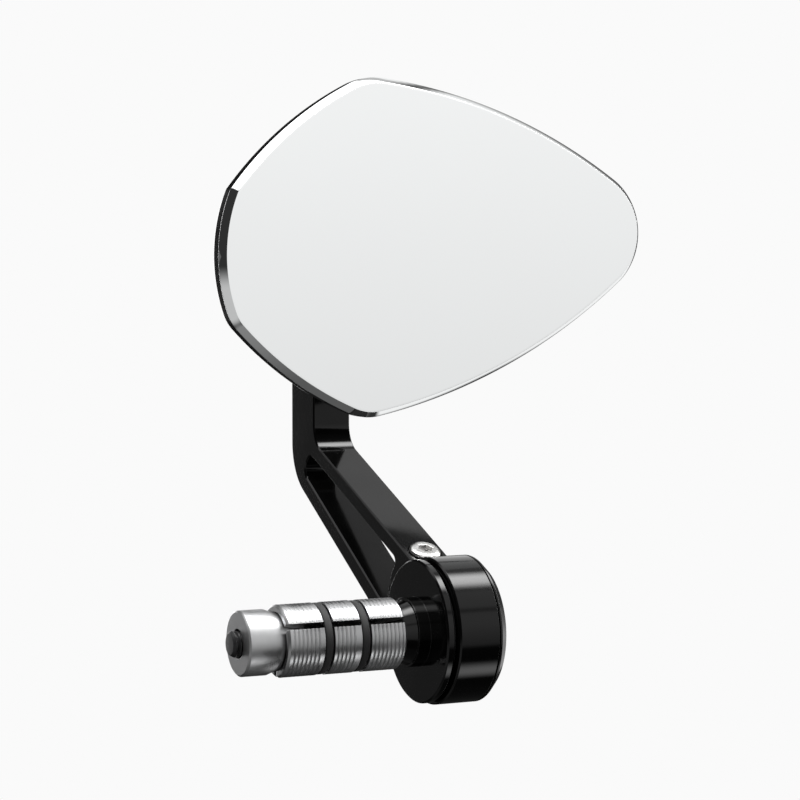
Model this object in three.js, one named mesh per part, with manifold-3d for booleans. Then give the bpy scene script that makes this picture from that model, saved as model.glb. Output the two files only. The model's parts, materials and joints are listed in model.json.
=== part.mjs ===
// A bar-end mirror: a polished mirror head on a ball joint, an arm with a split clamp ring, and a hub
// with an expander that grips the inside of a handlebar.
//
// Millimetres. The origin is on the handlebar's axis, where its end meets the hub's collar.
// +X points outboard along the bar, +Y away from the rider (the mirror looks to -Y), +Z up.

import * as THREE from "three";
import { mergeVertices } from "three/addons/utils/BufferGeometryUtils.js";
import Module from "manifold-3d";

const wasm = await Module();
wasm.setup();

// ---------------------------------------------------------------- driving dimensions

const GAP = 0.3; // between pieces that touch
const ARC_SAG = 0.03; // how far an arc may bulge past the straight lines that draw it
const CUT = 1; // how far a cut runs past what it cuts
const ROUND = 48; // sides of a large turned piece
const SMALL_ROUND = 28; // sides of a small turned piece
const TIP_CHAMFER = 0.5; // on the edges of screws, studs and collars

// The mirror head's outline: five round corners joined by bowed sides, counter-clockwise from the
// nose as the rider sees it. Each corner is [x, z, radius], and each side's bow is its radius.
const HEAD_CORNERS = [
  [67.4, 92.5, 16.4],
  [9.5, 114, 16],
  [-26.5, 101, 2.6],
  [-19.7, 75.8, 10.4],
  [7.5, 60, 13.1],
];
const HEAD_BOWS = [145, 91, 42, 88, 154];

const MIRROR_FACE_Y = 40;
const MIRROR_BEVEL = { width: 1.4, depth: 1.9 };
const MIRROR_LAND = 0.3; // straight edge behind the bevel
const PAD = { thick: 0.6, scale: 0.94, seatScale: 0.95 }; // scales are against the outline

const SHELL_LAND = 1.5; // straight edge of the shell, before it curves in
const SHELL_DOME = 7.5; // how far its back curves out behind that edge
const SHELL_CROWN = 0.25; // size of the crown's flat top, against the outline
const SHELL_WALL = 2.2;
const SHELL_POCKET = 0.85; // size of the pocket behind the plate, against the outline
const DOME_STEPS = 7;
const SPHERE_STEPS = 16; // stations along a sphere

const BALL = { x: 8, y: 52, z: 88, radius: 6.9 };
const LINER = { inner: 7.15, outer: 8.6, front: 5.9, back: 4.5 };
const SOCKET_RADIUS = 8.9;
const HOUSING = { foot: 14.5, tip: 10.4, end: 6.5, column: 17 };
const SOCKET_RING = { radius: 16, thick: 3.2, screwCircle: 12.6, screwCount: 3 };
const SOCKET_SCREW = { radius: 1.25, head: 2.3, sink: 1.05, length: 6, socket: 1.5 };

const STUD = { neck: 3.2, flare: 1.6, collar: 5.4, collarThick: 4, shank: 2.5, end: 87.6 };
const STUD_WASHER = { radius: 4.9, thick: 1 };
const STUD_NUT = { flats: 8, thick: 4.4 };

// The arm is a plate, its outline drawn in Y and Z about the bar's axis.
const ARM = { x: 3, width: 10, chamfer: 0.5, front: 66, back: 80.2, top: 97 };
const ARM_TOP_ROUND = 5;
const RING_RADIUS = 17;
// A bar's offset is how far its outer face lies from the parallel line through the ring's centre.
const UPPER_BAR = { angle: THREE.MathUtils.degToRad(22.7), offset: 10.8, side: 1 };
const LOWER_BAR = { angle: THREE.MathUtils.degToRad(30.2), offset: 13.9, side: -1 };
const BAR_FILLET = 3; // where a bar meets the ring
const ELBOW_FILLET = { inner: 7, outer: 14 };
const WINDOW = {
  ring: 22.5, // radius, about the ring's centre, of its end towards the ring
  ringCorner: 1.4,
  ringBow: 14,
  upper: 6.9, // offset of its upper side
  upperEnd: 68.5, // where that side ends, in Y
  lower: 9.6,
  lowerEnd: 73.5,
  corner: 2.6,
};
const CLAMP_SLOT = 1.8;
const SEAT_CLEARANCE = 0.4; // around the clamp screw's head
const SPIGOT_BORE = 12.85;

const CLAMP_SCREW = {
  reach: 17.45, // from the bar's axis to the screw's, along the upper bar
  radius: 2,
  head: 3.8,
  headHeight: 2.2,
  crown: 2.1, // radius of the head's flat top
  shoulder: { height: 1.6, radius: 3.1 }, // where its rounded side starts to fall in
  wall: 0.8, // height of its straight side
  seat: 1, // depth of the head's seat in the arm
  length: 20,
  socket: 2.5,
  socketDepth: 1.3,
};

const HUB = { collar: 16.5, collarThick: 2, spigot: 12.5, chamfer: 0.4, pocket: 9.2, pilot: 8 };
const HUB_SEAL = { inner: 12.8, outer: 15, thick: 0.4 };
const CAP = { thick: 2.2, chamfer: 1.9, boss: 8.9, bossDepth: 6, seat: 5.5, floor: 1.4 };
const BOLT = { radius: 3, head: 5, headHeight: 5, socket: 5, socketDepth: 3, end: -46 };
const BOLT_WASHER = { radius: 5.2, thick: 1 };

// The expander: two cones, drawn together by the bolt, push three jaws outward.
const CONE = { angle: THREE.MathUtils.degToRad(20), large: 7.4, small: 4.2, foot: 3, base: 6 };
const JAW = { count: 3, radius: 8.2, inner: 3.6, start: -6, end: -35, split: 1.4 };
const BAND = { inner: 7.3, outer: 8.1, width: 1.8, groove: 6.5, fromEnd: 10 };

// ---------------------------------------------------------------- stations worked out from them

const ARM_MIDDLE_X = ARM.x + ARM.width / 2;
const ARM_END_X = ARM.x + ARM.width;
const PLATE_BACK_Y = MIRROR_FACE_Y + MIRROR_BEVEL.depth + MIRROR_LAND;
const SHELL_FRONT_Y = PLATE_BACK_Y + GAP;
const SHELL_SEAT_Y = PLATE_BACK_Y + 2 * GAP + PAD.thick;
const SHELL_EDGE_Y = SHELL_FRONT_Y + SHELL_LAND;
const RING_FRONT_Y = SHELL_SEAT_Y + 2 * GAP;
const COLUMN_FRONT_Y = RING_FRONT_Y + SOCKET_RING.thick + GAP;
const CAP_FACE_X = ARM_END_X + GAP + CAP.thick;
const CAP_BOSS_END_X = CAP_FACE_X - CAP.thick - CAP.bossDepth;
const BOLT_SEAT_X = CAP_BOSS_END_X + CAP.floor;
const BOLT_HEAD_X = BOLT_SEAT_X + BOLT_WASHER.thick + 2 * GAP;

// ---------------------------------------------------------------- materials

const finish = (color, roughness, metalness) => ({ color, roughness, metalness });
const POLISHED = finish(0xe6eaeb, 0.04, 1);
const BLACK_ANODISED = finish(0x0c0c0d, 0.32, 0.7);
const STAINLESS = finish(0xb9bbbd, 0.25, 1);
const BLACK_STEEL = finish(0x1a1a1c, 0.4, 0.8);
const POLYMER = finish(0xd8d4c8, 0.5, 0);
const RUBBER = finish(0x111111, 0.8, 0);
const ADHESIVE = finish(0x2a2a2a, 0.9, 0);
const RAW_ALUMINIUM = finish(0x9fa3a6, 0.35, 1);

// ---------------------------------------------------------------- solids

// A closed three.js geometry as a manifold-3d solid.
function solid(geometry) {
  const bare = new THREE.BufferGeometry();
  bare.setAttribute("position", geometry.getAttribute("position"));
  bare.setIndex(geometry.index);
  const merged = mergeVertices(bare, 1e-4);
  const corners = merged.index.array;
  const kept = [];
  for (let i = 0; i < corners.length; i += 3) {
    const [a, b, c] = corners.subarray(i, i + 3);
    if (a !== b && b !== c && c !== a) kept.push(a, b, c);
  }
  return new wasm.Manifold(
    new wasm.Mesh({
      numProp: 3,
      vertProperties: merged.attributes.position.array,
      triVerts: new Uint32Array(kept),
    }),
  );
}

// A manifold-3d solid as a three.js geometry.
function geometryOf(body) {
  const mesh = body.getMesh();
  const geometry = new THREE.BufferGeometry();
  geometry.setAttribute("position", new THREE.BufferAttribute(mesh.vertProperties, 3));
  geometry.setIndex(new THREE.BufferAttribute(mesh.triVerts, 1));
  geometry.computeVertexNormals();
  return geometry;
}

const group = new THREE.Group();
group.name = "bar_end_mirror";

function addPart(name, body, look) {
  const mesh = new THREE.Mesh(geometryOf(body), new THREE.MeshStandardMaterial(look));
  mesh.name = name;
  group.add(mesh);
}

// ---------------------------------------------------------------- outlines and basic shapes

const point = (x, y) => new THREE.Vector2(x, y);

// Points along an arc about a centre, from one angle to another.
function arc(centre, radius, from, to) {
  const step = 2 * Math.acos(1 - ARC_SAG / radius);
  const steps = Math.max(2, Math.ceil(Math.abs(to - from) / step));
  return Array.from({ length: steps + 1 }, (_, i) => {
    const angle = from + ((to - from) * i) / steps;
    return point(centre.x + radius * Math.cos(angle), centre.y + radius * Math.sin(angle));
  });
}

// The arc that rounds a corner and is tangent to the lines to its neighbours.
function cornerArc(before, corner, after, radius) {
  const back = before.clone().sub(corner).normalize();
  const ahead = after.clone().sub(corner).normalize();
  const half = Math.acos(back.dot(ahead)) / 2;
  const middle = back.clone().add(ahead).normalize();
  const centre = corner.clone().addScaledVector(middle, radius / Math.sin(half));
  const reach = radius / Math.tan(half);
  const start = corner.clone().addScaledVector(back, reach).sub(centre).angle();
  const end = corner.clone().addScaledVector(ahead, reach).sub(centre).angle();
  return shortArc(centre, radius, start, end);
}

// The arc from one angle to another, the short way round.
function shortArc(centre, radius, from, to) {
  const turn = Math.atan2(Math.sin(to - from), Math.cos(to - from));
  return arc(centre, radius, from, from + turn);
}

// A closed outline with each corner [point, radius] rounded.
function roundedOutline(corners) {
  return corners.flatMap(([corner, radius], i) => {
    const [before] = corners.at(i - 1);
    const [after] = corners[(i + 1) % corners.length];
    return cornerArc(before, corner, after, radius);
  });
}

// The head's outline, drawn smaller by an inset. Each bowed side is an arc that two neighbouring
// corner circles touch from inside.
function headOutline(inset = 0) {
  const count = HEAD_CORNERS.length;
  const sides = HEAD_CORNERS.map(([x, z, radius], i) => {
    const [nextX, nextZ, nextRadius] = HEAD_CORNERS[(i + 1) % count];
    const start = point(x, z);
    const step = point(nextX, nextZ).sub(start);
    const reach = HEAD_BOWS[i] - radius;
    const nextReach = HEAD_BOWS[i] - nextRadius;
    const length = step.length();
    const along = (length ** 2 + reach ** 2 - nextReach ** 2) / (2 * length);
    const across = Math.sqrt(reach ** 2 - along ** 2);
    const ahead = step.clone().normalize();
    const centre = start
      .clone()
      .addScaledVector(ahead, along)
      .addScaledVector(point(-ahead.y, ahead.x), across);
    return {
      centre,
      from: start.clone().sub(centre).angle(),
      to: point(nextX, nextZ).sub(centre).angle(),
    };
  });
  const swept = (from, to) => from + THREE.MathUtils.euclideanModulo(to - from, 2 * Math.PI);
  return sides.flatMap(({ centre, from, to }, i) => {
    const [x, z, radius] = HEAD_CORNERS[i];
    const before = sides.at(i - 1);
    const corner = arc(point(x, z), radius - inset, before.to, swept(before.to, from));
    const side = arc(centre, HEAD_BOWS[i] - inset, from, swept(from, to));
    return [...corner.slice(0, -1), ...side.slice(0, -1)];
  });
}

// A closed skin over rings of points, all with the same number of points, and flat at both ends.
function loft(rings) {
  const count = rings[0].length;
  const positions = rings.flat().flatMap((p) => [p.x, p.y, p.z]);
  const faces = [];
  for (let k = 0; k + 1 < rings.length; k += 1) {
    for (let i = 0; i < count; i += 1) {
      const a = k * count + i;
      const b = k * count + ((i + 1) % count);
      faces.push(a, b, b + count, a, b + count, a + count);
    }
  }
  const last = (rings.length - 1) * count;
  const flat = THREE.ShapeUtils.triangulateShape(
    rings[0].map((p) => point(p.x, p.z)),
    [],
  );
  for (const [a, b, c] of flat) {
    faces.push(a, c, b);
    faces.push(last + a, last + b, last + c);
  }
  const geometry = new THREE.BufferGeometry();
  geometry.setAttribute("position", new THREE.Float32BufferAttribute(positions, 3));
  geometry.setIndex(faces);
  const body = solid(geometry);
  return body.volume() < 0 ? solid(turnedInsideOut(geometry)) : body;
}

function turnedInsideOut(geometry) {
  const corners = geometry.index.array;
  for (let i = 0; i < corners.length; i += 3) {
    [corners[i + 1], corners[i + 2]] = [corners[i + 2], corners[i + 1]];
  }
  return geometry;
}

// A ring of the head's outline at a depth, inset, or scaled about the ball's centre.
function headRing(y, { inset = 0, scale = 1 } = {}) {
  return headOutline(inset).map(
    (p) =>
      new THREE.Vector3(
        BALL.x + (p.x - BALL.x) * scale,
        y,
        BALL.z + (p.y - BALL.z) * scale,
      ),
  );
}

// Turns a profile of [along, radius] stations about the Y axis, and aims that axis along a direction.
function turned(stations, { sides = ROUND, at = [0, 0, 0], aim = [0, 1, 0] } = {}) {
  const profile = stations.map(([along, radius]) => point(radius, along));
  const closes = stations.at(0)[1] > 0 || stations.at(-1)[1] > 0;
  if (closes) profile.push(profile[0].clone());
  const geometry = new THREE.LatheGeometry(profile, sides);
  let body = solid(geometry);
  if (body.volume() < 0) body = solid(new THREE.LatheGeometry(profile.reverse(), sides));
  return placed(body, at, aim);
}

// Moves a body made along Y so that it starts at a point and runs along a direction.
function placed(body, at, aim = [0, 1, 0]) {
  const turn = new THREE.Quaternion().setFromUnitVectors(
    new THREE.Vector3(0, 1, 0),
    new THREE.Vector3(...aim).normalize(),
  );
  const matrix = new THREE.Matrix4().compose(
    new THREE.Vector3(...at),
    turn,
    new THREE.Vector3(1, 1, 1),
  );
  return body.transform(matrix.elements);
}

const rod = (radius, from, to, options) =>
  turned([[from, 0], [from, radius], [to, radius], [to, 0]], options);

// A hexagonal prism, measured across its flats, along Y from one station to another.
function hexagon(flats, from, to, options = {}) {
  const radius = flats / 2 / Math.cos(Math.PI / 6);
  return rod(radius, from, to, { ...options, sides: 6 });
}

const alongX = { aim: [1, 0, 0] };

// [along, radius] stations on a sphere about the origin, between two stations.
function sphereStations(radius, from, to, steps) {
  const start = Math.acos(THREE.MathUtils.clamp(from / radius, -1, 1));
  const end = Math.acos(THREE.MathUtils.clamp(to / radius, -1, 1));
  return Array.from({ length: steps + 1 }, (_, i) => {
    const angle = start + ((end - start) * i) / steps;
    return [radius * Math.cos(angle), Math.max(0, radius * Math.sin(angle))];
  });
}

// ---------------------------------------------------------------- the mirror head

function mirrorPlate() {
  return loft([
    headRing(MIRROR_FACE_Y, { inset: MIRROR_BEVEL.width }),
    headRing(MIRROR_FACE_Y + MIRROR_BEVEL.depth),
    headRing(PLATE_BACK_Y),
  ]);
}

function bondingPad() {
  const front = PLATE_BACK_Y + GAP;
  const { scale } = PAD;
  return loft([headRing(front, { scale }), headRing(front + PAD.thick, { scale })]);
}

// Rings of a crowned back, from the shell's edge to the crown's flat top.
function domeRings(scale, sink) {
  return Array.from({ length: DOME_STEPS + 1 }, (_, i) => {
    const angle = ((Math.PI / 2) * i) / DOME_STEPS;
    const size = SHELL_CROWN + (1 - SHELL_CROWN) * Math.cos(angle);
    return headRing(SHELL_EDGE_Y + SHELL_DOME * Math.sin(angle) - sink, { scale: size * scale });
  });
}

function headShell() {
  const ballCentre = { at: [BALL.x, BALL.y, BALL.z] };
  const crown = SHELL_EDGE_Y + SHELL_DOME - BALL.y;
  const columnFront = COLUMN_FRONT_Y - BALL.y;
  const outside = loft([headRing(SHELL_FRONT_Y), ...domeRings(1, 0)]);
  const housing = turned(
    [
      [columnFront, 0],
      [columnFront, HOUSING.foot],
      [crown, HOUSING.foot],
      [HOUSING.end - 1, HOUSING.tip],
      [HOUSING.end, HOUSING.tip - 1],
      [HOUSING.end, 0],
    ],
    ballCentre,
  );
  const padSeat = loft([
    headRing(SHELL_FRONT_Y - CUT, { scale: PAD.seatScale }),
    headRing(SHELL_SEAT_Y, { scale: PAD.seatScale }),
  ]);
  const pocket = loft([
    headRing(SHELL_FRONT_Y - SHELL_WALL, { scale: SHELL_POCKET }),
    ...domeRings(SHELL_POCKET, SHELL_WALL),
  ]).subtract(rod(HOUSING.column, columnFront, HOUSING.end, ballCentre));
  const socket = turned(
    sphereStations(SOCKET_RADIUS, -SOCKET_RADIUS, SOCKET_RADIUS, SPHERE_STEPS),
    ballCentre,
  );
  const mouth = rod(SOCKET_RADIUS, -SOCKET_RADIUS, 0, ballCentre);
  const screwHoles = socketScrewPlaces().map((at) =>
    rod(SOCKET_SCREW.radius + GAP, -GAP, SOCKET_SCREW.length + 2 * GAP, { at, sides: SMALL_ROUND }),
  );
  return [padSeat, pocket, socket, mouth, ...screwHoles].reduce(
    (shell, cut) => shell.subtract(cut),
    outside.add(housing),
  );
}

function socketScrewPlaces() {
  return Array.from({ length: SOCKET_RING.screwCount }, (_, i) => {
    const angle = Math.PI / 2 + (2 * Math.PI * i) / SOCKET_RING.screwCount;
    return [
      BALL.x + SOCKET_RING.screwCircle * Math.cos(angle),
      RING_FRONT_Y,
      BALL.z + SOCKET_RING.screwCircle * Math.sin(angle),
    ];
  });
}

function socketLiner() {
  const steps = SPHERE_STEPS / 2;
  const outside = sphereStations(LINER.outer, -LINER.front, LINER.back, steps);
  const inside = sphereStations(LINER.inner, LINER.back, -LINER.front, steps);
  return turned([...outside, ...inside], { at: [BALL.x, BALL.y, BALL.z] });
}

function socketRing() {
  const front = RING_FRONT_Y - BALL.y;
  const back = front + SOCKET_RING.thick;
  const { radius, head, sink } = SOCKET_SCREW;
  const ring = turned(
    [
      [front, SOCKET_RING.radius],
      [back, SOCKET_RING.radius],
      ...sphereStations(SOCKET_RADIUS, back, front, SPHERE_STEPS / 4),
    ],
    { at: [BALL.x, BALL.y, BALL.z] },
  );
  const screwHoles = socketScrewPlaces().map((at) =>
    turned(
      [
        [-CUT, 0],
        [-CUT, head + GAP],
        [GAP, head + GAP],
        [sink + GAP, radius + GAP],
        [SOCKET_RING.thick + CUT, radius + GAP],
        [SOCKET_RING.thick + CUT, 0],
      ],
      { at, sides: SMALL_ROUND },
    ),
  );
  return screwHoles.reduce((body, hole) => body.subtract(hole), ring);
}

function socketScrew(at) {
  const { radius, head, sink, length, socket } = SOCKET_SCREW;
  const body = turned(
    [
      [0, 0],
      [0, head],
      [sink, radius],
      [length - TIP_CHAMFER, radius],
      [length, radius - TIP_CHAMFER],
      [length, 0],
    ],
    { at, sides: SMALL_ROUND },
  );
  return body.subtract(hexagon(socket, -CUT, sink, { at }));
}

// ---------------------------------------------------------------- the ball stud and its nut

function ballStud() {
  const neckStart = Math.sqrt(BALL.radius ** 2 - STUD.neck ** 2);
  const face = ARM.front - GAP - BALL.y;
  const collar = face - STUD.collarThick;
  const end = STUD.end - BALL.y;
  return turned(
    [
      ...sphereStations(BALL.radius, -BALL.radius, neckStart, SPHERE_STEPS),
      [collar - STUD.flare, STUD.neck],
      [collar, STUD.collar - TIP_CHAMFER],
      [collar + TIP_CHAMFER, STUD.collar],
      [face - TIP_CHAMFER, STUD.collar],
      [face, STUD.collar - TIP_CHAMFER],
      [face, STUD.shank],
      [end - TIP_CHAMFER, STUD.shank],
      [end, STUD.shank - TIP_CHAMFER],
      [end, 0],
    ],
    { at: [BALL.x, BALL.y, BALL.z] },
  );
}

// A flat ring about an axis, from one station to another.
function washer(inner, outer, from, to, options) {
  return turned([[from, inner], [from, outer], [to, outer], [to, inner]], options);
}

function studWasher() {
  const front = ARM.back + GAP;
  const { radius, thick } = STUD_WASHER;
  const place = { at: [BALL.x, 0, BALL.z], sides: SMALL_ROUND };
  return washer(STUD.shank + GAP, radius, front, front + thick, place);
}

function studNut() {
  const { flats, thick } = STUD_NUT;
  const front = ARM.back + 2 * GAP + STUD_WASHER.thick;
  const back = front + thick;
  const place = { at: [BALL.x, 0, BALL.z], sides: SMALL_ROUND };
  const corner = flats / 2 / Math.cos(Math.PI / 6);
  const chamfered = turned(
    [
      [front - CUT, 0],
      [front - CUT, corner + CUT],
      [back - TIP_CHAMFER, corner],
      [back, flats / 2],
      [back, 0],
    ],
    place,
  );
  return hexagon(flats, front, back, place)
    .intersect(chamfered)
    .subtract(rod(STUD.shank + GAP, front - CUT, back + CUT, place));
}

// ---------------------------------------------------------------- the arm

// A bar's direction away from the ring, and its outward normal. Side is 1 for the upper bar and -1
// for the lower one.
function barFrame({ angle, side }) {
  return {
    along: point(Math.cos(angle), Math.sin(angle)),
    out: point(-Math.sin(angle) * side, Math.cos(angle) * side),
  };
}

// The point at a distance along a bar, and at an offset outward from the line through the ring's centre.
function barPoint(bar, distance, offset) {
  const { along, out } = barFrame(bar);
  return along.multiplyScalar(distance).addScaledVector(out, offset);
}

// The point of a bar, at an offset from that line, that has a given Y.
function barPointAt(bar, y, offset) {
  const { along, out } = barFrame(bar);
  return barPoint(bar, (y - out.x * offset) / along.x, offset);
}

// The point of a bar, at an offset from that line, at a distance from the ring's centre.
function barPointFrom(bar, radius, offset) {
  return barPoint(bar, Math.sqrt(radius ** 2 - offset ** 2), offset);
}

// The fillet between a bar's outer face and the clamp ring, from the bar to the ring.
function barFillet(bar) {
  const centre = barPointFrom(bar, RING_RADIUS + BAR_FILLET, bar.offset + BAR_FILLET);
  const toBar = barFrame(bar).out.negate().angle();
  const toRing = centre.clone().negate().angle();
  return { centre, points: shortArc(centre, BAR_FILLET, toBar, toRing) };
}

function armOutline() {
  const upper = barFillet(UPPER_BAR);
  const lower = barFillet(LOWER_BAR);
  const outerElbow = barPointAt(LOWER_BAR, ARM.back, LOWER_BAR.offset);
  const innerElbow = barPointAt(UPPER_BAR, ARM.front, UPPER_BAR.offset);
  const topBack = point(ARM.back, ARM.top);
  const topFront = point(ARM.front, ARM.top);
  return [
    ...arc(point(0, 0), RING_RADIUS, upper.centre.angle(), lower.centre.angle()).slice(1, -1),
    ...lower.points.toReversed(),
    ...cornerArc(lower.points[0], outerElbow, topBack, ELBOW_FILLET.outer),
    ...cornerArc(outerElbow, topBack, topFront, ARM_TOP_ROUND),
    ...cornerArc(topBack, topFront, innerElbow, ARM_TOP_ROUND),
    ...cornerArc(topFront, innerElbow, upper.points[0], ELBOW_FILLET.inner),
    ...upper.points,
  ];
}

// The window between the bars. Its end towards the ring follows the ring.
function windowOutline() {
  const upperEnd = barPointAt(UPPER_BAR, WINDOW.upperEnd, WINDOW.upper);
  const upperStart = barPointFrom(UPPER_BAR, WINDOW.ring, WINDOW.upper);
  const lowerStart = barPointFrom(LOWER_BAR, WINDOW.ring, WINDOW.lower);
  const lowerEnd = barPointAt(LOWER_BAR, WINDOW.lowerEnd, WINDOW.lower);
  const middle = upperStart.clone().add(lowerStart);
  middle.setLength(WINDOW.ring ** 2 / (middle.length() / 2));
  return roundedOutline([
    [upperEnd, WINDOW.corner],
    [upperStart, WINDOW.ringCorner],
    [middle, WINDOW.ringBow],
    [lowerStart, WINDOW.ringCorner],
    [lowerEnd, WINDOW.corner],
  ]);
}

// A point of the arm's plate, at its middle, as [x, y, z].
const onArm = (p) => [ARM_MIDDLE_X, p.x, p.y];

function arm() {
  const shape = new THREE.Shape(armOutline());
  shape.holes.push(new THREE.Path(windowOutline()));
  const plate = new THREE.ExtrudeGeometry(shape, {
    depth: ARM.width - 2 * ARM.chamfer,
    bevelThickness: ARM.chamfer,
    bevelSize: ARM.chamfer,
    bevelOffset: -ARM.chamfer,
    bevelSegments: 1,
    curveSegments: 1,
  });
  // The outline's first axis is Y, its second is Z, and it is extruded along X.
  const [yAxis, zAxis, xAxis] = [[0, 1, 0], [0, 0, 1], [1, 0, 0]].map((v) => new THREE.Vector3(...v));
  plate.applyMatrix4(new THREE.Matrix4().makeBasis(yAxis, zAxis, xAxis));
  plate.translate(ARM.x + ARM.chamfer, 0, 0);

  const { along } = barFrame(UPPER_BAR);
  const bore = turned(
    [
      [ARM.x - CUT, 0],
      [ARM.x - CUT, SPIGOT_BORE + ARM.chamfer + CUT],
      [ARM.x + ARM.chamfer, SPIGOT_BORE],
      [ARM_END_X - ARM.chamfer, SPIGOT_BORE],
      [ARM_END_X + CUT, SPIGOT_BORE + ARM.chamfer + CUT],
      [ARM_END_X + CUT, 0],
    ],
    { ...alongX, sides: 2 * ROUND },
  );
  const slotBox = new THREE.BoxGeometry(
    ARM.width + 2 * CUT,
    WINDOW.ring - SPIGOT_BORE + 2 * CUT,
    CLAMP_SLOT,
  );
  const slotMiddle = along.clone().multiplyScalar((WINDOW.ring + SPIGOT_BORE) / 2);
  const slot = placed(solid(slotBox), onArm(slotMiddle), [0, along.x, along.y]);
  const place = clampScrewPlace();
  const seat = rod(CLAMP_SCREW.head + SEAT_CLEARANCE, -CLAMP_SCREW.headHeight, CLAMP_SCREW.seat, place);
  const shankHole = rod(CLAMP_SCREW.radius + GAP, 0, UPPER_BAR.offset + RING_RADIUS, place);
  const studHole = rod(STUD.shank + GAP, ARM.front - CUT, ARM.back + CUT, {
    at: [BALL.x, 0, BALL.z],
    sides: SMALL_ROUND,
  });
  return [bore, slot, seat, shankHole, studHole].reduce(
    (body, cut) => body.subtract(cut),
    solid(plate),
  );
}

// Where the clamp screw meets the upper bar's face, aimed into the arm.
function clampScrewPlace() {
  const { out } = barFrame(UPPER_BAR);
  const start = barPoint(UPPER_BAR, CLAMP_SCREW.reach, UPPER_BAR.offset);
  return { at: onArm(start), aim: [0, -out.x, -out.y], sides: SMALL_ROUND };
}

function clampScrew() {
  const { radius, head, headHeight, crown, shoulder, wall, seat, length } = CLAMP_SCREW;
  const place = clampScrewPlace();
  const under = seat - GAP;
  const top = under - headHeight;
  const end = under + length;
  const body = turned(
    [
      [top, 0],
      [top, crown],
      [under - shoulder.height, shoulder.radius],
      [under - wall, head],
      [under, head],
      [under, radius],
      [end - TIP_CHAMFER, radius],
      [end, radius - TIP_CHAMFER],
      [end, 0],
    ],
    place,
  );
  return body.subtract(hexagon(CLAMP_SCREW.socket, top - CUT, top + CLAMP_SCREW.socketDepth, place));
}

// ---------------------------------------------------------------- the hub and its cap

// A cone's radius falls from large to small over this length.
const CONE_LENGTH = (CONE.large - CONE.small) / Math.tan(CONE.angle);

function barEndHub() {
  const { collar, collarThick, spigot, chamfer, pocket } = HUB;
  const bore = BOLT.radius + GAP;
  return turned(
    [
      [-CONE.foot - CONE_LENGTH, bore],
      [-CONE.foot - CONE_LENGTH, CONE.small],
      [-CONE.foot, CONE.large],
      [-CONE.foot, HUB.pilot],
      [0, HUB.pilot],
      [0, collar - chamfer],
      [chamfer, collar],
      [collarThick - chamfer, collar],
      [collarThick, collar - chamfer],
      [collarThick, spigot],
      [ARM_END_X - chamfer, spigot],
      [ARM_END_X, spigot - chamfer],
      [ARM_END_X, pocket],
      [CAP_BOSS_END_X - GAP, pocket],
      [CAP_BOSS_END_X - GAP, bore],
    ],
    alongX,
  );
}

function hubSeal() {
  const { inner, outer, thick } = HUB_SEAL;
  return washer(inner, outer, HUB.collarThick + GAP, HUB.collarThick + GAP + thick, alongX);
}

function endCap() {
  const back = CAP_FACE_X - CAP.thick;
  return turned(
    [
      [CAP_BOSS_END_X, BOLT.radius + GAP],
      [CAP_BOSS_END_X, CAP.boss],
      [back, CAP.boss],
      [back, RING_RADIUS],
      [CAP_FACE_X - CAP.chamfer, RING_RADIUS],
      [CAP_FACE_X, RING_RADIUS - CAP.chamfer],
      [CAP_FACE_X, CAP.seat],
      [BOLT_SEAT_X, CAP.seat],
      [BOLT_SEAT_X, BOLT.radius + GAP],
    ],
    alongX,
  );
}

function boltWasher() {
  const start = BOLT_SEAT_X + GAP;
  const { radius, thick } = BOLT_WASHER;
  return washer(BOLT.radius + GAP, radius, start, start + thick, alongX);
}

function expanderBolt() {
  const { radius, head, headHeight, socket, socketDepth, end } = BOLT;
  const top = BOLT_HEAD_X + headHeight;
  const body = turned(
    [
      [end, 0],
      [end, radius - TIP_CHAMFER],
      [end + TIP_CHAMFER, radius],
      [BOLT_HEAD_X, radius],
      [BOLT_HEAD_X, head],
      [top - TIP_CHAMFER, head],
      [top, head - TIP_CHAMFER],
      [top, 0],
    ],
    { ...alongX, sides: SMALL_ROUND },
  );
  return body.subtract(hexagon(socket, top - socketDepth, top + CUT, alongX));
}

// ---------------------------------------------------------------- the expander

const INNER_CONE_X = JAW.end - CONE.foot; // the inner cone's large end

function expanderCone() {
  const bore = BOLT.radius + GAP;
  return turned(
    [
      [INNER_CONE_X - CONE.base, bore],
      [INNER_CONE_X - CONE.base, CONE.large - HUB.chamfer],
      [INNER_CONE_X - CONE.base + HUB.chamfer, CONE.large],
      [INNER_CONE_X, CONE.large],
      [INNER_CONE_X + CONE_LENGTH, CONE.small],
      [INNER_CONE_X + CONE_LENGTH, bore],
    ],
    alongX,
  );
}

const bandStations = () => [JAW.start - BAND.fromEnd, JAW.end + BAND.fromEnd];

// The three jaws before they are split: a sleeve with a cone in each end and a groove for each band.
function jawSleeve() {
  const seatRadius = CONE.large + GAP / Math.cos(CONE.angle);
  const mouth = seatRadius - CONE.foot * Math.tan(CONE.angle);
  const depth = (mouth - JAW.inner) / Math.tan(CONE.angle);
  const sleeve = turned(
    [
      [JAW.end, mouth],
      [JAW.end, JAW.radius - TIP_CHAMFER],
      [JAW.end + TIP_CHAMFER, JAW.radius],
      [JAW.start - TIP_CHAMFER, JAW.radius],
      [JAW.start, JAW.radius - TIP_CHAMFER],
      [JAW.start, mouth],
      [JAW.start - depth, JAW.inner],
      [JAW.end + depth, JAW.inner],
    ],
    alongX,
  );
  const half = BAND.width / 2 + GAP;
  return bandStations()
    .map((x) => washer(BAND.groove, JAW.radius + CUT, x - half, x + half, alongX))
    .reduce((body, groove) => body.subtract(groove), sleeve);
}

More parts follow.
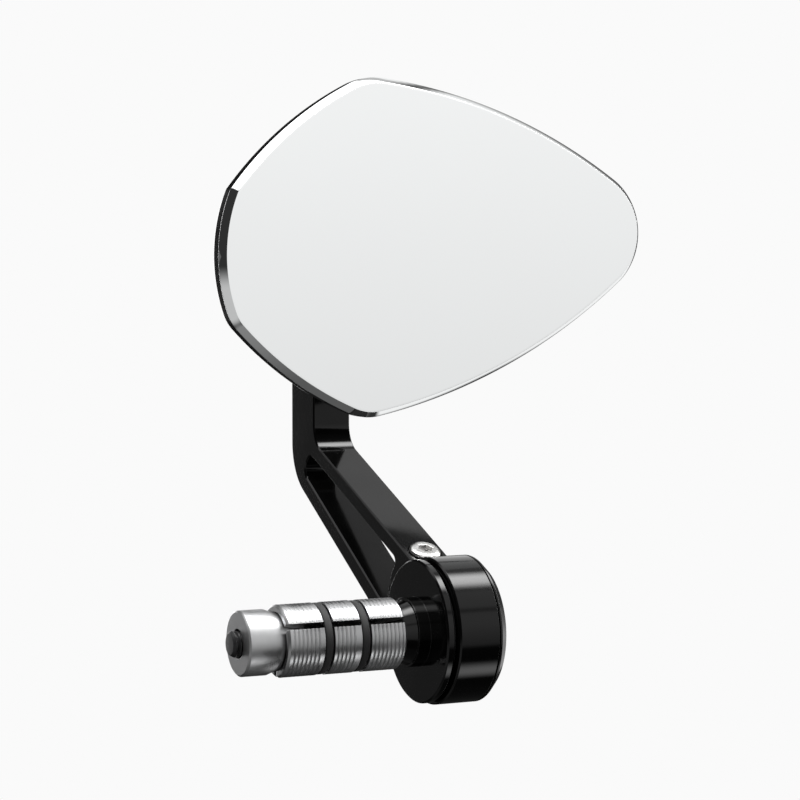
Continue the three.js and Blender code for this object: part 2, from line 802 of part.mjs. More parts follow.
// One jaw: the part of the sleeve between two splits, in the direction of an angle about the X axis.
function expanderJaw(sleeve, angle) {
  const halfTurn = Math.PI / JAW.count;
  const reach = 2 * JAW.radius;
  const tip = JAW.split / 2 / Math.sin(halfTurn);
  const side = point(Math.cos(halfTurn), Math.sin(halfTurn)).multiplyScalar(reach);
  const wedge = new THREE.ExtrudeGeometry(
    new THREE.Shape([
      point(tip, 0),
      point(tip + side.x, -side.y),
      point(tip + reach, 0),
      point(tip + side.x, side.y),
    ]),
    { depth: JAW.start - JAW.end + 2 * CUT, bevelEnabled: false },
  );
  const out = new THREE.Vector3(0, Math.cos(angle), Math.sin(angle));
  const along = new THREE.Vector3(1, 0, 0);
  const across = along.clone().cross(out);
  wedge.applyMatrix4(new THREE.Matrix4().makeBasis(out, across, along));
  wedge.translate(JAW.end - CUT, 0, 0);
  return sleeve.intersect(solid(wedge));
}

function jawBand(x) {
  const { inner, outer, width } = BAND;
  return washer(inner, outer, x - width / 2, x + width / 2, alongX);
}

// ---------------------------------------------------------------- the assembly

addPart("mirror_plate", mirrorPlate(), POLISHED);
addPart("bonding_pad", bondingPad(), ADHESIVE);
addPart("head_shell", headShell(), BLACK_ANODISED);
addPart("socket_liner", socketLiner(), POLYMER);
addPart("socket_ring", socketRing(), RAW_ALUMINIUM);
socketScrewPlaces().forEach((at, i) => addPart(`socket_screw_${i + 1}`, socketScrew(at), STAINLESS));

addPart("ball_stud", ballStud(), STAINLESS);
addPart("stud_washer", studWasher(), STAINLESS);
addPart("stud_nut", studNut(), STAINLESS);
addPart("arm", arm(), BLACK_ANODISED);
addPart("clamp_screw", clampScrew(), STAINLESS);

addPart("bar_end_hub", barEndHub(), BLACK_ANODISED);
addPart("hub_seal", hubSeal(), RUBBER);
addPart("end_cap", endCap(), BLACK_ANODISED);
addPart("bolt_washer", boltWasher(), STAINLESS);
addPart("expander_bolt", expanderBolt(), BLACK_STEEL);
addPart("expander_cone", expanderCone(), RAW_ALUMINIUM);

const sleeve = jawSleeve();
for (let i = 0; i < JAW.count; i += 1) {
  const angle = Math.PI / 2 + (2 * Math.PI * i) / JAW.count;
  addPart(`expander_jaw_${i + 1}`, expanderJaw(sleeve, angle), RAW_ALUMINIUM);
}
bandStations().forEach((x, i) => addPart(`jaw_band_${i + 1}`, jawBand(x), RUBBER));

export default group;
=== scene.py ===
"""Looks for the bar-end mirror: finely shaped pieces that stand for its CAD nodes, their finishes,
a pale studio and a camera. Shapes are worked out in millimetres in the CAD frame.
"""

import cmath
import json
import math

import bmesh
import bpy
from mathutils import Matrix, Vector
from mathutils.geometry import tessellate_polygon


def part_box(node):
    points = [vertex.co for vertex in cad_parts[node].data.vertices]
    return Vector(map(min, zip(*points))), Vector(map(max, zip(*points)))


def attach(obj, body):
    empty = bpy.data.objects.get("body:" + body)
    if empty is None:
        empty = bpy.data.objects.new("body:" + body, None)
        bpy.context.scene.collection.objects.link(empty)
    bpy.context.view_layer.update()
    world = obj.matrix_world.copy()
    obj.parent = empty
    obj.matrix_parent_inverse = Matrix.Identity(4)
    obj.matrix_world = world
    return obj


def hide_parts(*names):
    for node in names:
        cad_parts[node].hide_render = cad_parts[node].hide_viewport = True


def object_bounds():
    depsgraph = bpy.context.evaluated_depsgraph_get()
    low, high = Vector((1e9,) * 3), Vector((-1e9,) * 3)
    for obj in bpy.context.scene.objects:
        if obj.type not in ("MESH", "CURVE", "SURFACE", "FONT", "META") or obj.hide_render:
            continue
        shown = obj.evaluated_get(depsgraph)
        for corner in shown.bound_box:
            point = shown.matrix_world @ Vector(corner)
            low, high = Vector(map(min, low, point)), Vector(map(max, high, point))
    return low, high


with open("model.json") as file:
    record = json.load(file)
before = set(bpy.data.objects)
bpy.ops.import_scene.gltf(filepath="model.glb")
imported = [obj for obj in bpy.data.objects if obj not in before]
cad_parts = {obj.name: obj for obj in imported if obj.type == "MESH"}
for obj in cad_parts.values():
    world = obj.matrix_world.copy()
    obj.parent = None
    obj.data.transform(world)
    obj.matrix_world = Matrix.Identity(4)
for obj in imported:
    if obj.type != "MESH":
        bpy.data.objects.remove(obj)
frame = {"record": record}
cad_low, cad_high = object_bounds()

MM = 0.001
TAU = 2 * math.pi
GAP = 0.3  # the room left between two pieces
CUT = 1.0  # how far a cutter reaches past what it cuts
SAG = 0.004  # how far an arc may bulge past the straight lines that draw it
EDGE = 0.12  # radius of the small round on a machined edge
SHARP = math.radians(38)  # a bevel rounds the edges that turn by more than this

X_AXIS = Vector((1, 0, 0))
Y_AXIS = Vector((0, 1, 0))
ORIGIN = Vector((0, 0, 0))


# ---------------------------------------------------------------- where the CAD model has things


def low(node):
    """A CAD node's lowest corner, in millimetres."""
    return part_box(node)[0] / MM


def high(node):
    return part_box(node)[1] / MM


def centre(node):
    return (low(node) + high(node)) / 2


BODY_OF = {
    node: body for body, nodes in frame["record"]["behaviour"]["bodies"].items() for node in nodes
}
BALL_RADIUS = (high("ball_stud").x - low("ball_stud").x) / 2
BALL = Vector((centre("ball_stud").x, low("ball_stud").y + BALL_RADIUS, centre("ball_stud").z))


# ---------------------------------------------------------------- meshes


def mesh_piece(name, points, faces):
    """A smooth-shaded mesh object from points in millimetres."""
    mesh = bpy.data.meshes.new(name)
    mesh.from_pydata([tuple(Vector(p) * MM) for p in points], [], faces)
    mesh.update()
    work = bmesh.new()
    work.from_mesh(mesh)
    bmesh.ops.remove_doubles(work, verts=work.verts, dist=1e-7)
    bmesh.ops.dissolve_degenerate(work, edges=work.edges, dist=1e-8)
    bmesh.ops.recalc_face_normals(work, faces=work.faces)
    if work.calc_volume(signed=True) < 0:
        bmesh.ops.reverse_faces(work, faces=work.faces)
    work.to_mesh(mesh)
    work.free()
    piece = bpy.data.objects.new(name, mesh)
    bpy.context.scene.collection.objects.link(piece)
    return piece


def skin(name, rings, closed=False):
    """A skin over rings with the same number of points. A ring of one point is the tip of a fan,
    and rings that don't close on the first are capped with flat faces.
    """
    points, starts, faces = [], [], []
    for ring in rings:
        starts.append(len(points))
        points.extend(ring)
    count = max(len(ring) for ring in rings)

    def corner(k, i):
        return starts[k] + (i % count if len(rings[k]) > 1 else 0)

    pairs = [(k, (k + 1) % len(rings)) for k in range(len(rings) - (0 if closed else 1))]
    for a, b in pairs:
        for i in range(count):
            face = [corner(a, i), corner(a, i + 1), corner(b, i + 1), corner(b, i)]
            face = [v for n, v in enumerate(face) if v not in face[:n]]
            if len(face) > 2:
                faces.append(face)
    if not closed:
        for k in (0, len(rings) - 1):
            if len(rings[k]) > 1:
                faces.append([corner(k, i) for i in range(count)])
    return mesh_piece(name, points, faces)


def axes_for(aim):
    """Two unit directions square to a third, right-handed with it."""
    aim = Vector(aim).normalized()
    side = Vector((0, 0, 1)) if abs(aim.z) < 0.9 else X_AXIS
    side = (side - aim * side.dot(aim)).normalized()
    return side, aim.cross(side)


def turned(name, stations, at=ORIGIN, aim=X_AXIS, sides=96, rounding=EDGE, thread=None):
    """Turns [along, radius] stations round an axis. Corners get a small round. A thread is
    (from, to, pitch, depth), cut below the radius it lies on.
    """
    first, second = axes_for(aim)
    direction = Vector(aim).normalized()
    loop = stations[0][1] > 0 or stations[-1][1] > 0
    line = softened([complex(*s) for s in stations], rounding, loop)
    if thread:
        line = with_stations(line, thread)
    rings = []
    for p in line:
        if p.imag < 1e-6:
            rings.append([at + direction * p.real])
            continue
        ring = []
        for i in range(sides):
            turn = TAU * i / sides
            radius = p.imag - (thread_depth(p.real, turn, thread) if thread else 0)
            out = first * math.cos(turn) + second * math.sin(turn)
            ring.append(at + direction * p.real + out * radius)
        rings.append(ring)
    return skin(name, rings, closed=loop)


ROUND_STEPS = 4
LEAST_CORNER = math.radians(25)


def softened(line, radius, loop=False):
    """Rounds the sharp corners of a polyline of complex numbers."""
    if radius <= 0:
        return line
    made = []
    for i, p in enumerate(line):
        if not loop and i in (0, len(line) - 1):
            made.append(p)
            continue
        back, ahead = line[i - 1] - p, line[(i + 1) % len(line)] - p
        turn = abs(cmath.phase(-ahead / back))
        if turn < LEAST_CORNER:
            made.append(p)
            continue
        reach = min(radius * math.tan(turn / 2), 0.4 * abs(back), 0.4 * abs(ahead))
        start, end = p + back / abs(back) * reach, p + ahead / abs(ahead) * reach
        for k in range(ROUND_STEPS + 1):
            t = k / ROUND_STEPS
            made.append(start * (1 - t) ** 2 + p * 2 * t * (1 - t) + end * t * t)
    return made


THREAD_STEPS = 8


def with_stations(line, thread):
    """Adds close stations to the part of a profile that the thread lies on."""
    start, end, pitch, _ = thread
    made = []
    for p, q in zip(line, line[1:] + line[:1]):
        made.append(p)
        lo, hi = sorted((p.real, q.real))
        if abs(p.imag - q.imag) > 1e-3 or hi <= start or lo >= end or q is line[0]:
            continue
        count = int((min(hi, end) - max(lo, start)) / pitch * THREAD_STEPS)
        a, b = (max(lo, start), min(hi, end))
        if p.real > q.real:
            a, b = b, a
        made += [complex(a + (b - a) * k / count, p.imag) for k in range(count + 1)]
    return made


def thread_depth(along, turn, thread):
    start, end, pitch, depth = thread
    fade = min(1, max(0, min(along - start, end - along) / (0.6 * pitch)))
    phase = (along / pitch - turn / TAU) % 1
    flank = abs(2 * phase - 1) * 1.25 - 0.1
    return depth * fade * min(1, max(0, flank))


def prism(name, flats, start, end, at=ORIGIN, aim=X_AXIS):
    """A hexagonal prism, measured across its flats."""
    corner = flats / math.sqrt(3)
    stations = [(start, 0), (start, corner), (end, corner), (end, 0)]
    return turned(name, stations, at, aim, sides=6, rounding=0)


def rod(name, radius, start, end, at, aim, sides):
    """A cylinder for cutting."""
    stations = [(start, 0), (start, radius), (end, radius), (end, 0)]
    return turned(name, stations, at, aim, sides, rounding=0)


def applied(piece):
    """Puts a piece's modifiers into its mesh."""
    depsgraph = bpy.context.evaluated_depsgraph_get()
    mesh = bpy.data.meshes.new_from_object(piece.evaluated_get(depsgraph))
    piece.modifiers.clear()
    piece.data = mesh
    return piece


def combined(piece, others, operation="DIFFERENCE"):
    for other in others:
        modifier = piece.modifiers.new("combined", "BOOLEAN")
        modifier.operation = operation
        modifier.solver = "EXACT"
        modifier.object = other
    applied(piece)
    for other in others:
        bpy.data.objects.remove(other)
    work = bmesh.new()
    work.from_mesh(piece.data)
    bmesh.ops.remove_doubles(work, verts=work.verts, dist=2e-7)
    bmesh.ops.dissolve_degenerate(work, edges=work.edges, dist=1e-7)
    work.to_mesh(piece.data)
    work.free()
    return piece


def flat_faces_merged(piece):
    work = bmesh.new()
    work.from_mesh(piece.data)
    bmesh.ops.dissolve_limit(
        work, angle_limit=math.radians(0.2), verts=work.verts, edges=work.edges
    )
    work.to_mesh(piece.data)
    work.free()
    return piece


def stand_in(piece, node, look, bevel=0.0):
    """The piece takes the node's place, on its body, shaded smooth with its flats kept flat."""
    piece.data.materials.clear()
    piece.data.materials.append(look)
    if bevel:
        rounded = piece.modifiers.new("rounded_edges", "BEVEL")
        rounded.width = bevel * MM
        rounded.segments = 2
        rounded.limit_method = "ANGLE"
        rounded.angle_limit = SHARP
        rounded.miter_outer = "MITER_ARC"
    piece.data.shade_smooth()
    normals = piece.modifiers.new("flats_kept_flat", "WEIGHTED_NORMAL")
    normals.weight = 90
    normals.keep_sharp = True
    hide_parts(node)
    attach(piece, BODY_OF[node])
    return piece


# ---------------------------------------------------------------- finishes


class Shading:
    """Builds a node tree a line at a time."""

    def __init__(self, tree):
        tree.nodes.clear()
        self.tree = tree

    def node(self, kind, inputs=(), **settings):
        made = self.tree.nodes.new("ShaderNode" + kind)
        for key, value in settings.items():
            setattr(made, key, value)
        for key, value in dict(inputs).items():
            if isinstance(value, bpy.types.NodeSocket):
                self.tree.links.new(value, made.inputs[key])
            else:
                made.inputs[key].default_value = value
        return made

    def math(self, operation, a, b=0.0):
        return self.node("Math", {0: a, 1: b}, operation=operation).outputs[0]

    def ramp(self, value, start, end, low_value=0.0, high_value=1.0, smooth=True):
        made = self.node(
            "MapRange",
            {"Value": value, "From Min": start, "From Max": end, "To Min": low_value,
             "To Max": high_value},
            interpolation_type="SMOOTHSTEP" if smooth else "LINEAR",
        )
        return made.outputs["Result"]

    def noise(self, vector, scale, detail=3.0, roughness=0.5):
        made = self.node(
            "TexNoise",
            {"Vector": vector, "Scale": scale, "Detail": detail, "Roughness": roughness},
        )
        return made.outputs["Fac"]

    def mixed(self, share, first, second):
        """A colour between two, by a share."""
        made = self.node("Mix", {0: share, 6: first, 7: second}, data_type="RGBA")
        return made.outputs[2]


def grey(level, tint=(1.0, 1.0, 1.0)):
    return tuple(level * t for t in tint) + (1.0,)


def finish(name, base, worn, metallic, roughness, specular=0.5, wear=0.0, grain=1500.0,
           grain_depth=1.0, vary=0.06, lines=None):
    """A finish with fine grain, uneven sheen, turning lines and worn edges.

    lines is (axis stretch, scale, depth): noise squeezed along two axes into tool marks.
    """
    material = bpy.data.materials.new(name)
    material.use_nodes = True
    s = Shading(material.node_tree)
    place = s.node("TexCoord").outputs["Object"]
    cloud = s.noise(place, 55.0, 4.0)
    fine = s.noise(place, grain, 2.0)
    smudge = s.noise(place, 260.0, 5.0, 0.65)
    smudged = s.ramp(smudge, 0.35, 0.75, 0, vary / 2)
    uneven = s.math("ADD", s.ramp(cloud, 0.3, 0.7, -vary, vary), smudged)
    rough = s.math("ADD", roughness, uneven)
    height = s.math("MULTIPLY", fine, grain_depth)
    if lines:
        stretch, scale, depth = lines
        squeezed = s.node("Mapping", {"Vector": place, "Scale": stretch}).outputs[0]
        marks = s.noise(squeezed, scale, 4.0, 0.6)
        height = s.math("ADD", height, s.math("MULTIPLY", marks, depth))
        rough = s.math("ADD", rough, s.ramp(marks, 0.3, 0.7, -vary / 2, vary / 2))
    bump = s.node("Bump", {"Strength": 0.35, "Distance": 0.00002, "Height": height})
    shade = s.mixed(s.ramp(cloud, 0.3, 0.75), base, tuple(min(1, c * 1.35) for c in base[:3]) + (1,))
    if wear:
        round_normal = s.node("Bevel", {"Radius": 0.00022}, samples=6).outputs[0]
        true_normal = s.node("NewGeometry").outputs["Normal"]
        facing = s.node("VectorMath", {0: round_normal, 1: true_normal}, operation="DOT_PRODUCT")
        edge = s.ramp(facing.outputs["Value"], 0.985, 0.86)
        patchy = s.ramp(s.noise(place, 700.0, 5.0, 0.7), 0.42, 0.62)
        share = s.math("MULTIPLY", s.math("MULTIPLY", edge, patchy), wear)
        shade = s.mixed(share, shade, worn)
        rough = s.math("ADD", rough, s.math("MULTIPLY", share, 0.1))
    surface = s.node(
        "BsdfPrincipled",
        {
            "Base Color": shade,
            "Metallic": metallic,
            "Roughness": rough,
            "Specular IOR Level": specular,
            "Normal": bump.outputs[0],
        },
    )
    s.node("OutputMaterial", {"Surface": surface.outputs[0]})
    return material


def mirror_finish():
    """Polished metal: almost no roughness, with faint wiped streaks and specks."""
    material = bpy.data.materials.new("mirror_polish")
    material.use_nodes = True
    s = Shading(material.node_tree)
    place = s.node("TexCoord").outputs["Object"]
    wiped = s.node("Mapping", {"Vector": place, "Scale": (18.0, 1.0, 90.0), "Rotation": (0, 0.5, 0)})
    streaks = s.ramp(s.noise(wiped.outputs[0], 1.6, 6.0, 0.6), 0.5, 0.85, 0.0, 0.012)
    specks = s.ramp(s.noise(place, 900.0, 2.0), 0.72, 0.8, 0.0, 0.02)
    rough = s.math("ADD", 0.012, s.math("ADD", streaks, specks))
    tone = s.mixed(s.noise(place, 30.0, 3.0), grey(0.925, (0.99, 1, 1)), grey(0.94, (0.985, 1, 1)))
    surface = s.node(
        "BsdfPrincipled", {"Base Color": tone, "Metallic": 1.0, "Roughness": rough}
    )
    s.node("OutputMaterial", {"Surface": surface.outputs[0]})
    return material


TURNED_X = (1.0, 0.02, 0.02)
ALUMINIUM = grey(0.52, (0.98, 0.99, 1))
MIRROR = mirror_finish()
BLACK_MILLED = finish(
    "black_anodised_milled", grey(0.0012), ALUMINIUM, 0.0, 0.105, 0.23, wear=0.06,
    grain=2600.0, grain_depth=0.3, vary=0.02, lines=((1.0, 0.06, 0.06), 2400.0, 0.2),
)
BLACK_TURNED = finish(
    "black_anodised_turned", grey(0.0012), ALUMINIUM, 0.0, 0.10, 0.23, wear=0.06,
    grain=2600.0, grain_depth=0.25, vary=0.02, lines=(TURNED_X, 5200.0, 0.22),
)
BARE = finish(
    "bare_turned_aluminium", grey(0.3, (0.985, 0.99, 1)), grey(0.5), 1.0, 0.34, vary=0.08,
    lines=(TURNED_X, 5200.0, 1.6),
)
STEEL = finish(
    "bright_stainless", grey(0.56, (1, 0.99, 0.975)), grey(0.8), 1.0, 0.2, vary=0.07,
    wear=0.4, lines=((0.5, 0.5, 0.5), 4200.0, 0.7),
)
BLACK_STEEL = finish(
    "black_oxide_steel", grey(0.012, (1, 1, 1.06)), grey(0.3), 0.4, 0.34, 0.5, wear=0.45,
    vary=0.08, lines=((1, 1, 1), 3200.0, 0.8),
)
POLYMER = finish(
    "bearing_polymer", grey(0.62, (1, 0.965, 0.88)), grey(0.7), 0.0, 0.46, vary=0.08, grain=900.0
)
RUBBER = finish(
    "matt_rubber", grey(0.012), grey(0.03), 0.0, 0.78, 0.3, vary=0.1, grain=1900.0, grain_depth=2.5
)
ADHESIVE = finish(
    "adhesive_sheet", grey(0.03), grey(0.05), 0.0, 0.85, 0.3, vary=0.1, grain=800.0, grain_depth=4
)


# ---------------------------------------------------------------- outlines, as complex numbers


def arc(middle, radius, start, end, sag=SAG):
    step = 2 * math.acos(1 - sag / radius)
    count = max(3, math.ceil(abs(end - start) / step))
    turns = [start + (end - start) * i / count for i in range(count + 1)]
    return [middle + cmath.rect(radius, turn) for turn in turns]


def short_arc(middle, radius, start, end):
    turn = cmath.phase(cmath.rect(1, end - start))
    return arc(middle, radius, start, start + turn)


def corner_arc(before, corner, after, radius):
    back = (before - corner) / abs(before - corner)
    ahead = (after - corner) / abs(after - corner)
    half = abs(cmath.phase(ahead / back)) / 2
    between = (back + ahead) / abs(back + ahead)
    middle = corner + between * radius / math.sin(half)
    reach = radius / math.tan(half)
    start, end = corner + back * reach - middle, corner + ahead * reach - middle
    return short_arc(middle, radius, cmath.phase(start), cmath.phase(end))


def outward(outline):
    """Unit normals of a counter-clockwise outline."""
    count = len(outline)
    edges = [outline[(i + 1) % count] - outline[i] for i in range(count)]
    units = [edge / abs(edge) * -1j for edge in edges]
    sums = [units[i - 1] + units[i] for i in range(count)]
    return [s / abs(s) for s in sums]


def even(outline, spacing):
    """Splits long straight stretches, so that no step is longer than the spacing."""
    made = []
    for p, q in zip(outline, outline[1:] + outline[:1]):
        count = max(1, math.ceil(abs(q - p) / spacing))
        made += [p + (q - p) * k / count for k in range(count)]
    return made


# ---------------------------------------------------------------- the mirror head

HEAD_CORNERS = [
    (67.4 + 92.5j, 16.4),
    (9.5 + 114j, 16),
    (-26.5 + 101j, 2.6),
    (-19.7 + 75.8j, 10.4),
    (7.5 + 60j, 13.1),
]
HEAD_BOWS = [145, 91, 42, 88, 154]
HEAD_STEP = 0.7
BEVEL_WIDTH, BEVEL_DEPTH = 1.4, 1.9
BEVEL_CROWN, BEVEL_STEPS = 0.06, 6  # the bevel is polished very slightly round


def head_outline():
    """Five round corners joined by bowed sides, each an arc that touches two corner circles."""
    sides = []
    count = len(HEAD_CORNERS)
    for i, (start, radius) in enumerate(HEAD_CORNERS):
        end, end_radius = HEAD_CORNERS[(i + 1) % count]
        step = end - start
        reach, end_reach = HEAD_BOWS[i] - radius, HEAD_BOWS[i] - end_radius
        along = (abs(step) ** 2 + reach**2 - end_reach**2) / (2 * abs(step))
        across = math.sqrt(reach**2 - along**2)
        middle = start + step / abs(step) * complex(along, across)
        sides.append((middle, cmath.phase(start - middle), cmath.phase(end - middle)))
    outline = []
    for i, (middle, start, end) in enumerate(sides):
        corner, radius = HEAD_CORNERS[i]
        before = sides[i - 1][2]
        outline += arc(corner, radius, before, before + (start - before) % TAU)[:-1]
        outline += arc(middle, HEAD_BOWS[i], start, start + (end - start) % TAU)[:-1]
    return even(outline, HEAD_STEP)


OUTLINE = head_outline()
OUT = outward(OUTLINE)
BALL_AT = complex(BALL.x, BALL.z)


def head_ring(y, inset=0.0, scale=1.0):
    """The head's outline at a depth, moved in, and scaled about the ball's centre."""
    points = [p - n * inset for p, n in zip(OUTLINE, OUT)]
    points = [BALL_AT + (p - BALL_AT) * scale for p in points]
    return [Vector((p.real, y, p.imag)) for p in points]


def round_ring(y, radius):
    """A circle about the ball's centre, its points on the same rays as the outline's."""
    rays = [(p - BALL_AT) / abs(p - BALL_AT) * radius + BALL_AT for p in OUTLINE]
    return [Vector((p.real, y, p.imag)) for p in rays]


def mirror_plate():
    node = "mirror_plate"
    front, back = low(node).y, high(node).y
    profile = [complex(front, BEVEL_WIDTH + 0.5)]
    run = complex(BEVEL_DEPTH, -BEVEL_WIDTH)
    for k in range(BEVEL_STEPS + 1):
        share = k / BEVEL_STEPS
        crown = 4 * BEVEL_CROWN * share * (1 - share)
        profile.append(complex(front, BEVEL_WIDTH) + run * share - 1j * run / abs(run) * crown)
    profile += [complex(back, 0), complex(back, 1)]
    rings = [head_ring(p.real, p.imag) for p in softened(profile, 0.05)]
    stand_in(skin("polished_mirror", rings), node, MIRROR)


def bonding_pad():
    node = "bonding_pad"
    front, back = low(node).y, high(node).y
    profile = [complex(front, 1), complex(front, 0), complex(back, 0), complex(back, 1)]
    rings = [head_ring(p.real, p.imag, 0.94) for p in softened(profile, 0.1)]
    stand_in(skin("adhesive_pad", rings), node, ADHESIVE)


SHELL_LAND = 2.6
SHELL_DOME = 6.65
SHELL_CROWN = 0.25
SHELL_WALL = 2.2
POCKET_SCALE = 0.85
SEAT_SCALE = 0.95
HOUSING_FOOT, HOUSING_TIP, COLUMN_RADIUS = 14.5, 10.4, 17.0
HOUSING_BLEND = 1.6
SOCKET_RADIUS = 8.9
SHELL_FORWARD = 0.25  # its front edge is this much nearer the plate than the CAD's
DOME_RINGS, DOME_CROWDING, MOUTH_RINGS = 64, 1.6, 10
POCKET_SHARES = (0.75, 0.85, 0.92, 0.97, 1.0)


def dome_depth(share, edge, dome):
    """How far back the dome reaches where its outline is a share of the full one."""
    return edge + dome * math.sqrt(max(0.0, 1 - ((share - SHELL_CROWN) / (1 - SHELL_CROWN)) ** 2))


def smooth_top(a, b, blend):
    """The larger of two heights, with a fillet where they cross."""
    h = max(blend - abs(a - b), 0) / blend
    return max(a, b) + h * h * blend / 4


def head_shell():
    """One skin swept round the ball's axis. Its outside is a dome under a round ball housing, and its
    inside has the pad's seat, the pocket, the column and the ball's socket.
    """
    node = "head_shell"
    front, tip = low(node).y - SHELL_FORWARD, high(node).y
    edge = front + SHELL_LAND
    seat = low("bonding_pad").y + GAP * 3
    crown = edge + SHELL_DOME
    column = low("socket_ring").y + SOCKET_RING_THICK + GAP
    reach = [abs(p - BALL_AT) for p in OUTLINE]
    top_radius = HOUSING_TIP - CUT

    def housing(radius):
        run = (radius - HOUSING_TIP) / (HOUSING_FOOT - HOUSING_TIP)
        return tip - CUT + (crown - tip + CUT) * run

    rings = []
    for p in softened([complex(front, 1), complex(front, 0), complex(edge, 0)], 0.12):
        rings.append(head_ring(p.real, p.imag))
    # Over the dome and up the housing, from the full outline to the housing's tip.
    for k in range(1, DOME_RINGS + 1):
        t = k / DOME_RINGS
        ring = []
        for p, r in zip(OUTLINE, reach):
            # Crowded towards the edge, where the dome is steep.
            radius = top_radius + (r - top_radius) * (1 - t) ** DOME_CROWDING
            radius = r - (r - radius) * t
            share = radius / r
            y = dome_depth(share, edge, SHELL_DOME) if share > SHELL_CROWN else crown
            y = smooth_top(y, housing(radius), HOUSING_BLEND) if radius < HOUSING_FOOT + 6 else y
            y = min(y, tip) if radius >= HOUSING_TIP - CUT * 0.999 else tip
            at = BALL_AT + (p - BALL_AT) / r * radius
            ring.append(Vector((at.real, y, at.imag)))
        rings.append(ring)
    mouth = math.sqrt(SOCKET_RADIUS**2 - (tip - BALL.y) ** 2)
    inside = [complex(tip, top_radius), complex(tip, mouth)]
    for k in range(1, MOUTH_RINGS + 1):
        turn = math.asin(mouth / SOCKET_RADIUS)
        turn += (math.pi / 2 - turn) * k / MOUTH_RINGS
        inside.append(complex(BALL.y + SOCKET_RADIUS * math.cos(turn), SOCKET_RADIUS * math.sin(turn)))
    inside += [complex(column, SOCKET_RADIUS), complex(column, COLUMN_RADIUS)]
    inside += [complex(crown - SHELL_WALL, COLUMN_RADIUS)]
    for p in softened(inside, EDGE)[1:]:
        rings.append(round_ring(p.real, p.imag))
    # The pocket's back, then its wall, the pad's seat and the front edge.
    for share in POCKET_SHARES:
        y = dome_depth(share, edge, SHELL_DOME) - SHELL_WALL
        rings.append(pocket_ring(y, share * POCKET_SCALE))
    rings += [head_ring(seat, scale=POCKET_SCALE), head_ring(seat, scale=SEAT_SCALE)]
    rings += [head_ring(front, scale=SEAT_SCALE)]
    shell = skin("head_housing", rings, closed=True)
    holes = [
        rod("hole", SCREW_RADIUS + GAP, -GAP, SCREW_LENGTH + 2 * GAP, at, Y_AXIS, sides=32)
        for at in screw_places()
    ]
    stand_in(combined(shell, holes), node, BLACK_MILLED)


def pocket_ring(y, scale):
    """A ring of the pocket, kept clear of the column in its middle."""
    made = []
    for p in OUTLINE:
        ray = (p - BALL_AT) * scale
        ray *= max(1, (COLUMN_RADIUS + 0.5) / abs(ray))
        at = BALL_AT + ray
        made.append(Vector((at.real, y, at.imag)))
    return made


SCREW_CIRCLE = 12.6
SCREW_RADIUS, SCREW_HEAD, SCREW_SINK, SCREW_LENGTH = 1.25, 2.3, 1.05, 6.0
SCREW_SOCKET, SCREW_PLAIN, SCREW_LEAD = 1.5, 2.4, 0.4
SOCKET_RING_THICK = 3.2
LINER_OUTER, LINER_INNER = SOCKET_RADIUS - GAP, 7.15


def screw_places():
    made = []
    for i in range(3):
        out = cmath.rect(SCREW_CIRCLE, math.pi / 2 + TAU * i / 3) + BALL_AT
        made.append(Vector((out.real, low("socket_ring").y, out.imag)))
    return made


def sphere(radius, start, end, steps):
    """Stations on a sphere about the origin."""
    first, last = (math.acos(max(-1, min(1, v / radius))) for v in (start, end))
    turns = [first + (last - first) * i / steps for i in range(steps + 1)]
    return [(radius * math.cos(t), max(0.0, radius * math.sin(t))) for t in turns]


def socket_parts():
    front = low("socket_ring").y - BALL.y
    radius = (high("socket_ring").x - low("socket_ring").x) / 2
    stations = [(front, radius), (front + SOCKET_RING_THICK, radius)]
    stations += sphere(SOCKET_RADIUS, front + SOCKET_RING_THICK, front, 8)
    ring = turned("clamping_ring", stations, BALL, Y_AXIS)
    holes = []
    for at in screw_places():
        hole = [(-CUT, 0), (-CUT, SCREW_HEAD + GAP), (GAP, SCREW_HEAD + GAP)]
        hole += [(SCREW_SINK + GAP, SCREW_RADIUS + GAP)]
        hole += [(SOCKET_RING_THICK + CUT, SCREW_RADIUS + GAP), (SOCKET_RING_THICK + CUT, 0)]
        holes.append(turned("hole", hole, at, Y_AXIS, 32, 0))
    stand_in(combined(ring, holes), "socket_ring", BARE, 0.08)

    for i, at in enumerate(screw_places()):
        tip = SCREW_LENGTH - SCREW_LEAD
        stations = [(0, 0), (0, SCREW_HEAD), (SCREW_SINK, SCREW_RADIUS), (SCREW_PLAIN, SCREW_RADIUS)]
        stations += [(tip, SCREW_RADIUS), (SCREW_LENGTH, SCREW_RADIUS - SCREW_LEAD), (SCREW_LENGTH, 0)]
        screw = turned(
            f"countersunk_screw_{i + 1}", stations, at, Y_AXIS, 32, 0.08,
            (SCREW_PLAIN, tip, 0.45, 0.2),
        )
        combined(screw, [prism("socket", SCREW_SOCKET, -CUT, SCREW_SINK, at, Y_AXIS)])
        stand_in(screw, f"socket_screw_{i + 1}", STEEL, 0.05)

    front, back = (low("socket_liner").y - BALL.y, high("socket_liner").y - BALL.y)
    stations = sphere(LINER_OUTER, front, back, 14) + sphere(LINER_INNER, back, front, 14)
    liner = turned("liner_cup", stations, BALL, Y_AXIS, 80, 0.1)
    stand_in(liner, "socket_liner", POLYMER)


# ---------------------------------------------------------------- the ball stud and its nut

STUD_NECK, STUD_FLARE, STUD_COLLAR, COLLAR_LENGTH, STUD_SHANK = 3.2, 1.6, 5.4, 4.0, 2.5
NUT_FLATS, NUT_COUNTERSINK = 8.0, 4.3


